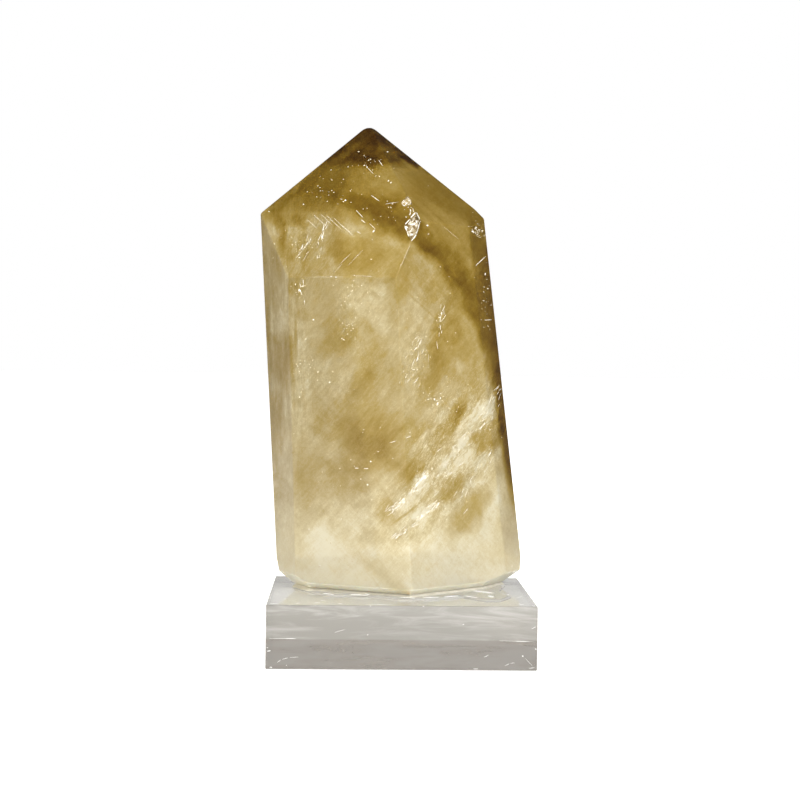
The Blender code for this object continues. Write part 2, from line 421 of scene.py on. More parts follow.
# Zones that run straight, with the same values as above: smoke that keeps to an edge
# of the stone, a golden seam in its foot and the faint lines of healed cracks.
STRAIGHT = [
    ((33.8, 12, 75), (27, 9, 3.6), 83, 0.4, 0.12, 1.0),
    ((25.4, 10, 137), (9, 9, 2.4), 70, 0.5, 0.34, 0.9),
    ((24.2, 2, 122), (17, 30, 2.7), 80, 0.35, 0.24, 0.6),
    ((-5.2, -14, 26), (10, 20, 1.7), 37, 0.9, 0.83, 0.9),
    ((-33, -5, 98), (6, 12, 0.5), 88, 0.7, 0.56, 0.7),
    ((6, -12, 107), (9, 12, 0.35), 40, 0.7, 0.56, 0.4),
    ((1, -17, 44.8), (4.5, 12, 0.35), -38, 0.7, 0.58, 0.8),
]

# Zones just under the front facets, in mm: centre (x, z), half sizes (along, across),
# then lean, edge, milkiness and strength as above.
FRONT = [
    ((-14, 158), (5, 2.5), 20, 0.6, 0.16, 0.6),
    ((-5, 156), (3, 2.5), 40, 0.7, 0.26, 0.8),
    ((3, 154.5), (6, 1.2), 38, 0.5, 0.00, 0.9),
    ((2, 152), (4, 0.9), 25, 0.5, 0.50, 0.8),
    ((-27, 149), (20, 1.4), -40, 0.5, 0.26, 0.7),
    ((12, 148), (20, 1.3), 39, 0.5, 0.20, 0.8),
    ((-6, 146), (9, 5), 0, 0.7, 0.58, 0.9),
    ((-24, 145), (8, 4), -30, 0.6, 0.32, 0.7),
    ((10, 141), (10, 5), 40, 0.6, 0.35, 0.6),
    ((-17, 140), (8, 3), 20, 0.7, 0.28, 0.8),
    ((-6, 135), (10, 5), 25, 0.7, 0.18, 0.9),
    ((1, 131), (4, 6), 0, 0.6, 0.24, 0.8),
    ((-39, 133), (9, 2), 87, 0.5, 0.30, 0.8),
    ((-33, 134), (3.5, 3), 0, 0.6, 0.30, 0.7),
    ((-42, 120), (16, 3.5), 87, 0.6, 0.75, 0.9),
    ((19, 139), (8, 3.5), 40, 0.6, 0.36, 0.7),
    ((25, 134), (7, 3), 60, 0.5, 0.44, 0.9),
    ((24.5, 128), (4, 2), 80, 0.6, 0.50, 0.8),
    ((11, 132), (12, 5), 45, 0.7, 0.44, 0.9),
    ((16, 127), (11, 4.0), 55, 0.7, 0.49, 0.9),
    ((9, 124.5), (11, 3.0), 38, 0.8, 0.17, 1.0),
    ((19, 114), (13, 3.8), 55, 0.7, 0.20, 1.0),
    ((24, 106), (6, 3), 55, 0.7, 0.24, 0.7),
    ((-27, 129), (8, 2.6), 80, 0.6, 0.72, 0.8),
    ((-23, 131), (3.5, 2.6), 0, 0.6, 0.72, 0.6),
    ((-33, 127), (5, 3), 60, 0.6, 0.72, 0.6),
    ((-19, 124), (10, 2.8), 75, 0.6, 0.42, 0.8),
    ((-11, 123), (9, 6), 30, 0.7, 0.47, 0.8),
    ((8, 114), (10, 5), 45, 0.7, 0.57, 0.8),
    ((-37, 106), (14, 3), 85, 0.6, 0.90, 0.9),
    ((-37, 90), (8, 4), 90, 0.5, 0.58, 0.8),
    ((-21, 97), (7, 4), -30, 0.7, 0.60, 0.8),
    ((-24, 110), (9, 6), -30, 0.6, 0.80, 0.7),
    ((-5, 95), (10, 3.2), -52, 0.6, 0.76, 0.7),
    ((3, 93), (9, 5), -60, 0.6, 0.80, 0.9),
    ((0, 105), (6, 4), -60, 0.7, 0.80, 0.8),
    ((3, 79), (12, 9), 0, 0.7, 0.78, 0.8),
    ((12, 92), (12, 2.6), -65, 0.7, 0.48, 0.8),
    ((21, 84), (8, 5), -60, 0.6, 0.69, 0.8),
    ((17, 75), (6, 2), -65, 0.5, 0.44, 0.8),
    ((-13, 83), (7, 3.5), -50, 0.6, 0.52, 0.7),
    ((-29, 85), (7, 6), 0, 0.6, 0.80, 0.8),
    ((-10, 68), (14, 7.5), 10, 0.7, 0.50, 0.9),
    ((-9, 65), (6, 3.5), 0, 0.6, 0.38, 0.7),
    ((-30, 58), (11, 6), 80, 0.7, 0.66, 0.6),
    ((4, 64), (7, 5), 0, 0.6, 0.74, 0.7),
    ((24, 71), (25, 3.4), -50, 0.6, 1.02, 0.9),
    ((18, 62), (18, 4), -50, 0.7, 0.92, 0.8),
    ((28, 67), (6, 4), -40, 0.5, 0.54, 0.9),
    ((29, 46), (14, 6), -60, 0.9, 0.98, 0.9),
    ((0, 58), (6, 3.2), 0, 0.6, 0.46, 0.8),
    ((-11, 53), (4, 2.5), 0, 0.6, 0.48, 0.7),
    ((-6, 53), (6, 5), -30, 0.6, 0.80, 0.8),
    ((15, 51), (4, 3), -45, 0.6, 0.54, 0.9),
    ((21, 44), (8, 3.6), -45, 0.7, 0.56, 0.8),
    ((-4, 45), (4, 3), -60, 0.5, 0.52, 0.8),
    ((3.5, 51), (9.5, 2.2), -48, 0.6, 0.96, 0.9),
    ((4, 43.4), (8.5, 1.5), -38, 0.6, 0.98, 1.0),
    ((-24, 33), (8, 4.5), 85, 0.7, 1.00, 0.8),
    ((-36, 38), (9, 3), 85, 0.6, 0.90, 0.7),
    ((10, 31), (16, 7), 10, 0.6, 0.96, 0.7),
    ((30, 31), (9, 3), 45, 0.6, 0.90, 0.6),
    ((-12, 30), (8, 5), 0, 0.7, 1.0, 0.6),
    ((-3, 38.5), (9, 2.6), -10, 0.8, 0.75, 0.8),
    ((-2.5, 30), (5.5, 6), 0, 0.8, 0.85, 0.7),
    ((15, 121.5), (4, 2), 50, 0.7, 0.38, 0.7),
    ((14.5, 129.5), (9, 1.4), 49, 0.6, 0.54, 0.7),
]
FRONT_DEPTH = 12.0
FRONT_LOOKS = Vector((0.0, -1.0, 0.0))
SKIN = BVHTree.FromBMesh(merged_copy("citrine_point"))
WELL_OUTSIDE = 200 * MM


def on_skin(x, z, looks=FRONT_LOOKS):
    """Where the skin that looks that way lies at (x, z) in mm, and its normal."""
    start = Vector((x, 0.0, z)) * MM + looks * WELL_OUTSIDE
    place, normal, _, _ = SKIN.ray_cast(start, -looks)
    return place, normal


# Threads: lean, stretch, thickness, then where they lie (centre, half sizes, lean,
# edge), the contrast of their bands and the strength of their bright hairs.
THREADS = [
    (-49, 8.0, 1.0, ((20, -8, 66), (36, 30, 13), -49, 0.6), 0.85, 0.20),
    (-49, 6.0, 1.0, ((2, -8, 90), (46, 40, 24), -60, 0.7), 0.35, 0.05),
    (87, 8.0, 1.0, ((-38, 0, 105), (50, 40, 9), 87, 0.5), 0.6, 0.06),
    (-72, 7.0, 1.0, ((-28, -4, 126), (16, 30, 11), -80, 0.6), 0.45, 0.10),
    (44, 6.0, 1.0, ((4, -8, 128), (34, 30, 14), 44, 0.6), 0.35, 0.03),
    (30, 1.5, 1.0, ((-9, 4, 158), (14, 30, 9), 0, 0.5), 0.5, 0.16),
    (46, 8.0, 0.45, ((8, 0, 40), (40, 60, 24), 0, 0.6), 0.16, 0.05),
    (-47, 7.0, 0.4, ((0, 0, 80), (60, 60, 70), 0, 0.4), 0.15, 0.05),
]

# The broad clouds' milkiness, how far the zones wander in mm, the half width of a hair
# in its noise, mottling in lumps per mm with its contrast, and the foot, where it is faintest.
CLOUDS = (0.54, 0.86)
WANDER = 7.0
HAIR_WIDTH = 0.035
MOTTLES = [(0.16, 0.20), (0.5, 0.19), (1.8, 0.16)]
CALM_FOOT = ((0, 5, 12), (80, 80, 28), 0, 0.4, 0.65)


def ramp(tree, value, stops):
    """A colour that runs through the stops, each a value and its colour."""
    made = add_node(tree, "ValToRGB", Fac=value)
    steps = made.color_ramp.elements
    steps.remove(steps[1])
    steps[0].color = (*stops[0][1], 1.0)
    for position, colour in stops[1:]:
        steps.new(position).color = (*colour, 1.0)
    return made.outputs[0]


def towards(tree, share, start, goal):
    """The start value drawn towards the goal by the share, 0 to 1."""
    return add_node(tree, "Mix", {"data_type": "FLOAT"}, _0=share, _2=start, _3=goal).outputs[0]


def citrine(name, clearness):
    """Stone whose milkiness is built up zone by zone and turned into colour at the end."""
    finish, tree, shader, place = new_material(name)
    in_mm = add_node(tree, "VectorMath", {"operation": "SCALE"}, _0=place, Scale=1000.0).outputs[0]
    _, astray = noise_at(tree, in_mm, 0.12, detail=3.0)
    shift = add_node(tree, "VectorMath", {"operation": "SUBTRACT"}, _0=astray, _1=(0.5,) * 3).outputs[0]
    drift = add_node(tree, "VectorMath", {"operation": "MULTIPLY_ADD"}, _0=shift, _1=(WANDER,) * 3,
                     _2=in_mm).outputs[0]
    lumps, _ = noise_at(tree, in_mm, 0.045, detail=4.0, roughness=0.55, distortion=0.6)
    level = between(tree, lumps, 0.35, 0.65, *CLOUDS)
    for centre, size, lean, edge, milkiness, strength in THROUGH:
        level = towards(tree, zone(tree, drift, centre, size, lean, edge, strength), level, milkiness)
    for (x, z), (along, across), lean, edge, milkiness, strength in FRONT:
        skin, _ = on_skin(x, z)
        centre = (x, skin.y / MM if skin else 0.0, z)
        here = zone(tree, drift, centre, (along, FRONT_DEPTH, across), lean, edge, strength)
        level = towards(tree, here, level, milkiness)
    for centre, size, lean, edge, milkiness, strength in STRAIGHT:
        level = towards(tree, zone(tree, in_mm, centre, size, lean, edge, strength), level, milkiness)

    # Milky threads with bright hairs, then mottling over all of it.
    for turn, stretch, size, reach, contrast, hairs in THREADS:
        along = add_node(tree, "Mapping", {"vector_type": "TEXTURE"}, Vector=in_mm,
                         Rotation=(0.0, radians(turn), 0.0),
                         Scale=(stretch * size, 2.0 * size, size)).outputs[0]
        band, _ = noise_at(tree, along, 0.42, detail=4.0, roughness=0.6, distortion=0.4)
        fibre, _ = noise_at(tree, along, 1.0, detail=3.0, roughness=0.6, distortion=0.6)
        off_hair = sums(tree, "ABSOLUTE", sums(tree, "SUBTRACT", fibre, 0.5))
        hair = between(tree, off_hair, HAIR_WIDTH, 0.0)
        lift = sums(tree, "MULTIPLY_ADD", sums(tree, "SUBTRACT", band, 0.5), contrast,
                    sums(tree, "MULTIPLY", hair, hairs))
        level = sums(tree, "MULTIPLY_ADD", lift, zone(tree, drift, *reach), level)
    uneven = sums(tree, "SUBTRACT", 1.0, zone(tree, in_mm, *CALM_FOOT))
    for scale, amount in MOTTLES:
        mottle, _ = noise_at(tree, in_mm, scale, detail=4.0, roughness=0.6, distortion=0.5)
        height = sums(tree, "MULTIPLY", sums(tree, "SUBTRACT", mottle, 0.5), amount)
        level = sums(tree, "MULTIPLY_ADD", height, uneven, level)
    tree.links.new(ramp(tree, level, STONE), shader.inputs["Base Color"])
    shader.inputs["Roughness"].default_value = 0.3
    shader.inputs["IOR"].default_value = QUARTZ_IOR
    shader.inputs["Transmission Weight"].default_value = clearness
    shader.inputs["Specular IOR Level"].default_value = 0.12
    shader.inputs["Coat Weight"].default_value = 1.0
    shader.inputs["Coat Roughness"].default_value = 0.02
    shader.inputs["Coat IOR"].default_value = QUARTZ_IOR
    depth = add_node(tree, "VolumeAbsorption", Color=(0.93, 0.80, 0.45), Density=8.0)
    tree.links.new(depth.outputs[0], tree.nodes["Material Output"].inputs["Volume"])
    return finish


# The chip in the front edge, where three flakes broke away. Its faces look forwards at
# least this much and lie within this box, at least this far below the facets around it.
CHIP_LOOKS = -0.3
CHIP_LOW, CHIP_HIGH = Vector((-3, -18, 125)) * MM, Vector((8, 0, 145)) * MM
CHIP_RECESS = 0.12 * MM

# The deep flake lies below a lip that rises to the right from here, the bruise above
# this height. The scar between them took a polish again.
FLAKE_LIP, LIP_SLOPE = Vector((-0.4, 0, 132.5)) * MM, 1.1
BRUISE_FOOT = 137.6 * MM

# How finely the broken faces are cut, how far they crumple and over what lengths.
SPLINTER_CUTS = 3
SPLINTER = 0.22 * MM
CRUMPLES = (0.9 * MM, 0.4 * MM)

# Their tones from dark to bright, where the brightest cells of the break are painted glints off its small
# facets, and the crystal's finishes after the polished stone.
BREAK_TONES_AND_GLINTS = [(0.0, (0.16, 0.10, 0.03)), (0.4, (0.36, 0.28, 0.15)), (0.75, (0.54, 0.47, 0.34)),
               (1.0, (0.95, 0.92, 0.84))]
BRUISE_TONES = [(0.0, (0.30, 0.21, 0.06)), (0.5, (0.42, 0.33, 0.18)), (1.0, (0.72, 0.66, 0.55))]
BROKEN, BRUISED, MILKY = 1, 2, 3


def broken_quartz_and_glints(name, scale, tones):
    """Small facets of many tones, whose brightest ones stand in as painted glints, with scale in facets per
    metre.
    """
    finish, tree, shader, place = new_material(name)
    flakes = add_node(tree, "TexVoronoi", Vector=place, Scale=scale, Randomness=1.0)
    tone = add_node(tree, "SeparateColor", Color=flakes.outputs["Color"]).outputs[0]
    grain, _ = noise_at(tree, place, 2500.0, detail=3.0)
    share = sums(tree, "MULTIPLY_ADD", sums(tree, "SUBTRACT", grain, 0.5), 0.8, tone)
    tree.links.new(ramp(tree, share, tones), shader.inputs["Base Color"])
    shader.inputs["Roughness"].default_value = 0.25
    shader.inputs["IOR"].default_value = QUARTZ_IOR
    return finish


def splinter_chip(bm):
    """Give the chip's faces their own finishes, cut them finer and roughen them."""
    front = [face for face in bm.faces
             if face.calc_center_median().z > CHIP_LOW.z and face.normal.y < CHIP_LOOKS]
    facets = sorted(front, key=lambda face: face.calc_area())[-2:]
    for face in front:
        middle = face.calc_center_median()
        recess = min(-facet.normal.dot(middle - facet.verts[0].co) for facet in facets)
        in_box = all(low < at < high for low, at, high in zip(CHIP_LOW, middle, CHIP_HIGH))
        offset = middle - FLAKE_LIP
        if recess <= CHIP_RECESS or not in_box:
            continue
        if offset.z < LIP_SLOPE * offset.x:
            face.material_index = BROKEN
        elif middle.z > BRUISE_FOOT:
            face.material_index = BRUISED
    broken = bmesh.ops.triangulate(bm, faces=[face for face in bm.faces if face.material_index])["faces"]
    inner = dict.fromkeys(edge for face in broken for edge in face.edges
                          if all(beside.material_index for beside in edge.link_faces))
    bmesh.ops.subdivide_edges(bm, edges=list(inner), cuts=SPLINTER_CUTS, use_grid_fill=True)
    bmesh.ops.triangulate(bm, faces=[face for face in bm.faces if face.material_index])
    for vert in bm.verts:
        if all(face.material_index for face in vert.link_faces):
            crumple = sum(noise.noise(vert.co / length) for length in CRUMPLES)
            vert.co += vert.normal * SPLINTER * crumple


# The bevel round the foot, where the stone is milkiest: its tilt and its top, and how
# light spreads under its skin before it comes out again, in red, green and blue.
FOOT_TILT, FOOT_TOP = -0.3, 29 * MM
FOOT_SPREAD, FOOT_REACH = (1.0, 0.9, 0.6), 12 * MM


def crystal():
    bm = merged_copy("citrine_point")
    splinter_chip(bm)
    for face in bm.faces:
        if face.normal.z < FOOT_TILT and face.calc_center_median().z < FOOT_TOP:
            face.material_index = MILKY
    chip = broken_quartz_and_glints("broken_quartz_and_glints", 1100.0, BREAK_TONES_AND_GLINTS)
    bruise = broken_quartz_and_glints("bruised_break", 2200.0, BRUISE_TONES)
    stone = citrine("cloudy_citrine", 0.6)
    foot = citrine("milky_foot", 0.1)
    scatter = foot.node_tree.nodes["Principled BSDF"].inputs
    scatter["Subsurface Weight"].default_value = 1.0
    scatter["Subsurface Radius"].default_value = FOOT_SPREAD
    scatter["Subsurface Scale"].default_value = FOOT_REACH
    piece = add_piece("citrine_crystal", bm, [stone, chip, bruise, foot])
    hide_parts("citrine_point")


crystal()


# Healed cracks sealed in the stone: thin, bent leaves of tiny white bubbles that lie a
# little under the skin. From (x, z), to (x, z), half width, bow to the left, depth in mm.
VEILS = [
    ((-3.8, 44.8), (7.6, 56.6), 1.7, 1.4, 0.5), ((-2.8, 37.0), (10.8, 48.0), 1.6, 1.2, 0.5),
    ((0.5, 84.0), (5.5, 100.0), 3.2, -0.6, 1.0), ((-26.4, 122.0), (-25.0, 134.5), 1.3, 0.4, 0.5),
    ((-32.0, 120.0), (-29.0, 131.0), 2.0, 0.5, 0.9), ((11.0, 55.0), (31.5, 80.0), 1.8, 1.0, 0.7),
    ((17.0, 48.0), (30.0, 64.0), 1.4, 0.6, 0.7), ((-24.5, 26.5), (-22.5, 39.0), 2.8, 0.5, 1.2),
    ((-30.5, 106.0), (-31.5, 118.0), 1.2, 0.3, 0.5), ((24.0, 32.0), (33.0, 50.0), 2.4, 0.8, 1.0),
]
BACK_VEILS = [
    ((-20.0, 60.0), (4.0, 92.0), 3.0, 2.5, 0.8), ((2.0, 98.0), (16.0, 118.0), 2.6, 1.5, 0.8),
    ((-26.0, 96.0), (-20.0, 120.0), 2.2, 1.0, 0.8), ((8.0, 40.0), (26.0, 62.0), 2.8, 2.0, 0.8),
]
VEIL_ROWS, VEIL_LANES = 18, 4
VEIL_THICKNESS = 0.05 * MM
VEIL_END = 0.02
VEIL_BENDS, BEND_LENGTH = 0.35 * MM, 2.5


def milky_veil():
    finish, tree, shader, place = new_material("milky_veil")
    fine, _ = noise_at(tree, place, 1600.0, detail=4.0, roughness=0.7)
    broad, _ = noise_at(tree, place, 320.0)
    cover = sums(tree, "MULTIPLY", between(tree, fine, 0.42, 0.62), between(tree, broad, 0.3, 0.55))
    tree.links.new(cover, shader.inputs["Alpha"])
    tint = blend_colours(tree, fine, (0.93, 0.89, 0.78), (1.0, 0.99, 0.95))
    tree.links.new(tint, shader.inputs["Base Color"])
    shader.inputs["Roughness"].default_value = 0.55
    return finish


def veil(bm, start, end, wide, bow, depth, looks):
    """A lens-shaped leaf that follows the skin at its depth, with a slight crumple."""
    start, end = Vector(start), Vector(end)
    side = (end - start).orthogonal().normalized()
    leaf = bmesh.ops.create_grid(bm, x_segments=VEIL_ROWS, y_segments=VEIL_LANES, size=1.0)["verts"]
    for vert in leaf:
        along, across = vert.co.x, vert.co.y
        taper = max(1.0 - along * along, VEIL_END) ** 0.5
        flat = start.lerp(end, (along + 1) / 2) + side * (across * wide * taper + bow * (1 - along * along))
        skin, normal = on_skin(*flat, looks)
        crumple = VEIL_BENDS * noise.noise(Vector((flat.x, depth, flat.y)) / BEND_LENGTH)
        vert.co = skin - normal * (depth * MM + crumple)
    faces = dict.fromkeys(face for vert in leaf for face in vert.link_faces)
    bmesh.ops.solidify(bm, geom=list(faces), thickness=VEIL_THICKNESS)


def sealed_veils():
    bm = bmesh.new()
    for row in VEILS:
        veil(bm, *row, FRONT_LOOKS)
    for row in BACK_VEILS:
        veil(bm, *row, -FRONT_LOOKS)
    bmesh.ops.recalc_face_normals(bm, faces=bm.faces)
    add_piece("sealed_milky_veils", bm, [milky_veil()])


sealed_veils()


# Marks in the polish: white grains and bruises where tiny hollows break the surface,
# the straight hairlines that handling and the last grit left, and painted highlights along two
# facet edges. Sizes are in mm.

# Single grains: (x, z), half length, half width, turn up from level in degrees.
GRAINS = [
    ((-5.2, 156.5), 0.35, 0.30, 0), ((-12.5, 152.0), 0.45, 0.25, 20), ((-11.6, 151.4), 0.3, 0.2, 60),
    ((-23.0, 150.8), 0.25, 0.2, 0), ((-26.4, 145.0), 0.2, 0.2, 0), ((-19.0, 147.6), 0.2, 0.2, 0),
    ((-5.0, 146.6), 0.4, 0.3, 60), ((-4.2, 146.0), 0.4, 0.25, 70), ((-22.0, 143.3), 0.3, 0.2, 30),
    ((-19.6, 141.0), 0.35, 0.2, -30), ((-18.3, 140.6), 0.45, 0.35, 0), ((-31.5, 139.6), 0.3, 0.3, 0),
    ((-9.5, 130.4), 0.7, 0.35, 60), ((22.8, 132.8), 0.6, 0.3, 30), ((21.8, 131.5), 0.7, 0.4, -20),
    ((26.2, 118.5), 0.6, 0.4, 70), ((25.6, 110.0), 0.6, 0.15, -10), ((6.9, 132.2), 0.35, 0.35, 0),
    ((7.2, 129.6), 0.25, 0.25, 0), ((-22.3, 116.2), 0.25, 0.25, 0), ((-20.8, 116.0), 0.3, 0.2, 0),
    ((-15.2, 116.5), 0.3, 0.2, 80), ((-32.0, 112.0), 0.7, 0.35, -30), ((-31.0, 113.3), 0.5, 0.3, 40),
    ((-27.6, 103.0), 0.3, 0.3, 0), ((11.8, 105.6), 0.35, 0.2, 50), ((11.5, 103.1), 0.3, 0.2, 60),
    ((10.6, 77.8), 0.8, 0.35, 60), ((9.6, 79.2), 0.5, 0.25, -60), ((11.6, 79.6), 0.4, 0.2, 50),
    ((9.1, 58.1), 0.5, 0.35, 60), ((-9.6, 60.3), 0.35, 0.3, 0), ((-10.5, 53.2), 0.35, 0.35, 0),
    ((-28.2, 38.7), 0.3, 0.3, 0), ((-18.3, 42.4), 0.25, 0.25, 0), ((-24.8, 27.6), 0.5, 0.35, 30),
    ((-22.4, 84.0), 0.4, 0.3, 45), ((36.0, 26.0), 0.6, 0.4, 60), ((-42.5, 137.5), 0.3, 0.2, 0),
]

# Hairlines: (x, z) of the middle, half length, half width, turn.
HAIRLINES = [
    ((-7.4, 152.6), 1.5, 0.10, -58), ((-10.8, 150.4), 2.1, 0.07, -48), ((-9.0, 141.0), 1.9, 0.10, -38),
    ((-4.0, 139.3), 2.5, 0.06, 7), ((-13.8, 136.0), 2.0, 0.10, -48), ((-12.7, 133.6), 1.0, 0.12, -39),
    ((-9.9, 132.0), 1.5, 0.09, -45), ((-14.0, 130.0), 0.9, 0.10, -31), ((-26.0, 134.0), 3.6, 0.06, -44),
    ((-24.0, 134.3), 3.2, 0.05, -46), ((-21.7, 133.4), 4.0, 0.06, -45), ((-19.8, 132.8), 3.4, 0.05, -47),
    ((-17.6, 130.9), 3.0, 0.06, -44), ((-28.5, 133.0), 2.6, 0.05, -42), ((24.5, 122.5), 2.9, 0.14, 43),
    ((27.2, 104.0), 1.6, 0.12, 5), ((-18.4, 121.4), 3.4, 0.035, 45), ((-15.0, 122.0), 4.0, 0.03, 47),
    ((-20.5, 118.5), 2.6, 0.03, 48), ((11.3, 63.8), 0.9, 0.12, 37), ((-13.8, 58.1), 0.7, 0.10, 3),
    ((-11.0, 58.1), 0.8, 0.12, 3), ((-3.0, 66.5), 1.3, 0.08, 18), ((1.6, 68.0), 1.0, 0.08, 20),
    ((20.0, 44.5), 1.5, 0.08, 48), ((2.6, 136.2), 1.4, 0.14, -70), ((14.5, 130.5), 3.5, 0.03, -35),
]

# The white lines where the chip's rim and its steps are crushed, then painted highlights along
# the two faint edges between the front facets: from (x, z), to (x, z), half width.
CRUSHED_AND_LIT_EDGES = [
    ((-0.1, 132.2), (1.7, 134.2), 0.24), ((1.6, 134.1), (3.4, 136.6), 0.26),
    ((3.4, 136.5), (4.6, 133.6), 0.2), ((4.6, 133.4), (3.4, 129.0), 0.17),
    ((3.3, 129.0), (1.8, 126.8), 0.22), ((1.7, 127.0), (0.5, 130.4), 0.2),
    ((0.6, 130.2), (-0.1, 132.0), 0.26), ((0.0, 131.9), (0.9, 131.2), 0.3),
    ((1.2, 129.8), (2.6, 131.6), 0.1), ((1.0, 130.2), (3.0, 128.8), 0.1),
    ((2.0, 133.0), (3.4, 134.6), 0.12), ((1.0, 132.6), (3.9, 132.0), 0.07),
    ((2.6, 128.3), (3.2, 131.5), 0.12), ((0.8, 138.0), (1.6, 137.3), 0.16),
    ((1.6, 137.3), (1.8, 136.2), 0.18), ((1.8, 136.2), (1.1, 134.9), 0.18),
    ((0.2, 134.9), (0.5, 134.5), 0.15), ((-1.0, 139.3), (0.0, 140.4), 0.16),
    ((0.1, 138.6), (0.9, 139.6), 0.15), ((0.4, 141.0), (1.1, 141.5), 0.14),
    ((1.7, 140.3), (2.0, 141.2), 0.16), ((-1.2, 138.8), (0.4, 138.2), 0.14),
    # Painted highlights: white slivers along the two facet edges, where the edges catch the light.
    ((1.8, 126.6), (-2.6, 116.2), 0.035), ((-2.6, 116.1), (-17.0, 116.1), 0.035),
    ((-17.0, 116.1), (-31.5, 116.1), 0.03),
]

# Sheaves of bright fibres where veils reach the skin: from (x, z), to (x, z), how far
# they spread to each side, and how many.
SHEAVES = [
    ((-3.8, 44.8), (7.6, 56.6), 1.0, 90), ((-2.8, 37.0), (10.8, 48.0), 0.8, 60),
    ((0.5, 84.0), (5.5, 100.0), 2.6, 22), ((-26.0, 122.0), (-25.0, 134.5), 0.8, 16),
    ((-31.5, 121.0), (-29.0, 131.0), 1.4, 10), ((11.0, 55.0), (31.5, 80.0), 2.2, 34),
    ((17.0, 48.0), (30.0, 64.0), 1.6, 20), ((-31.0, 108.0), (-31.6, 117.0), 1.2, 6),
    ((22.0, 70.0), (33.0, 84.0), 1.2, 14), ((10.0, 92.0), (12.5, 108.0), 1.0, 10),
]
FIBRE_LONG, FIBRE_WIDE, FIBRE_TURN = (0.4, 1.6), (0.03, 0.11), 14

# Drifts of grains: (x, z), how far they spread each way, how many.
DRIFTS = [
    ((-10.5, 153.0), (5.5, 3.5), 22), ((-22.0, 143.0), (9.0, 4.0), 26), ((-5.0, 138.0), (6.0, 4.0), 16),
    ((-33.0, 128.0), (5.0, 5.5), 30), ((23.5, 133.0), (2.2, 5.0), 26), ((23.2, 131.6), (1.4, 1.5), 30),
    ((26.5, 108.0), (2.0, 14.0), 22), ((-17.0, 110.0), (3.5, 7.0), 34), ((-29.0, 87.0), (5.0, 6.0), 36),
    ((-16.0, 100.0), (3.5, 5.0), 34), ((3.0, 92.0), (4.5, 8.0), 34), ((15.5, 78.0), (5.0, 9.0), 40),
    ((9.5, 79.0), (2.5, 3.0), 18), ((7.0, 50.0), (7.0, 6.0), 30), ((20.0, 62.0), (10.0, 8.0), 36),
    ((-20.0, 36.0), (10.0, 8.0), 22), ((0.0, 35.0), (26.0, 8.0), 34), ((-20.0, 62.0), (12.0, 12.0), 24),
    ((-32.5, 112.0), (1.6, 2.0), 10), ((11.0, 104.0), (1.5, 4.0), 12), ((0.0, 90.0), (30.0, 50.0), 90),
]
BACK_DRIFTS = [
    ((-8.0, 150.0), (8.0, 6.0), 40), ((-15.0, 120.0), (16.0, 14.0), 50), ((10.0, 95.0), (14.0, 16.0), 60),
    ((0.0, 60.0), (24.0, 18.0), 60), ((4.0, 38.0), (22.0, 8.0), 30),
]

# A drift's grains: half width, how much of it is left, and length against width. Then
# how much of its spread is one standard deviation, and what is left of a single grain.
GRAIN_WIDE, GRAIN_WORN, GRAIN_LONG = (0.09, 0.21), (0.5, 1.0), (1.0, 2.2)
DEVIATION = 0.6
GRAIN_SHARE = 0.8
MARK_RISE = 0.05 * MM


# White quartz for the marks in the polish, and for the painted highlights on two facet edges.
def bruise_and_highlight_quartz(name, dull, bright):
    finish, tree, shader, place = new_material(name)
    shade, _ = noise_at(tree, place, 1500.0)
    tint = blend_colours(tree, between(tree, shade, 0.35, 0.65), dull, bright)
    tree.links.new(tint, shader.inputs["Base Color"])
    shader.inputs["Roughness"].default_value = 0.35
    shader.inputs["IOR"].default_value = QUARTZ_IOR
    return finish


def mark(bm, spot, long, wide, turn, looks=FRONT_LOOKS):
    """A stroke by its middle, half length and turn up from level in degrees."""
    half = Vector((cos(radians(turn)), sin(radians(turn)))) * long
    stroke(bm, Vector(spot) - half, Vector(spot) + half, wide, looks)


def stroke(bm, start, end, wide, looks=FRONT_LOOKS):
    """A sliver laid half into the skin that looks that way, from one (x, z) to another, in mm."""
    (first, facing), (last, turned) = on_skin(*start, looks), on_skin(*end, looks)
    if first is not None and last is not None:
        sliver(bm, first, last, wide * MM, (facing + turned).normalized(), MARK_RISE)


def drift_of_marks(bm, chance, spot, spread, count, looks=FRONT_LOOKS):
    for _ in range(count):
        at = [chance.gauss(middle, reach * DEVIATION) for middle, reach in zip(spot, spread)]
        wide = chance.uniform(*GRAIN_WIDE) * chance.uniform(*GRAIN_WORN)
        mark(bm, at, wide * chance.uniform(*GRAIN_LONG), wide, chance.uniform(-90, 90), looks)


def sheaf(bm, chance, start, end, spread, count):
    start, end = Vector(start), Vector(end)
    side = (end - start).orthogonal().normalized()
    lean = (end - start).angle_signed(Vector((1, 0)))
    for _ in range(count):
        at = start.lerp(end, chance.random()) + side * chance.gauss(0, spread * DEVIATION)
        turn = lean * 180 / pi + chance.gauss(0, FIBRE_TURN)
        mark(bm, at, chance.uniform(*FIBRE_LONG), chance.uniform(*FIBRE_WIDE), turn)


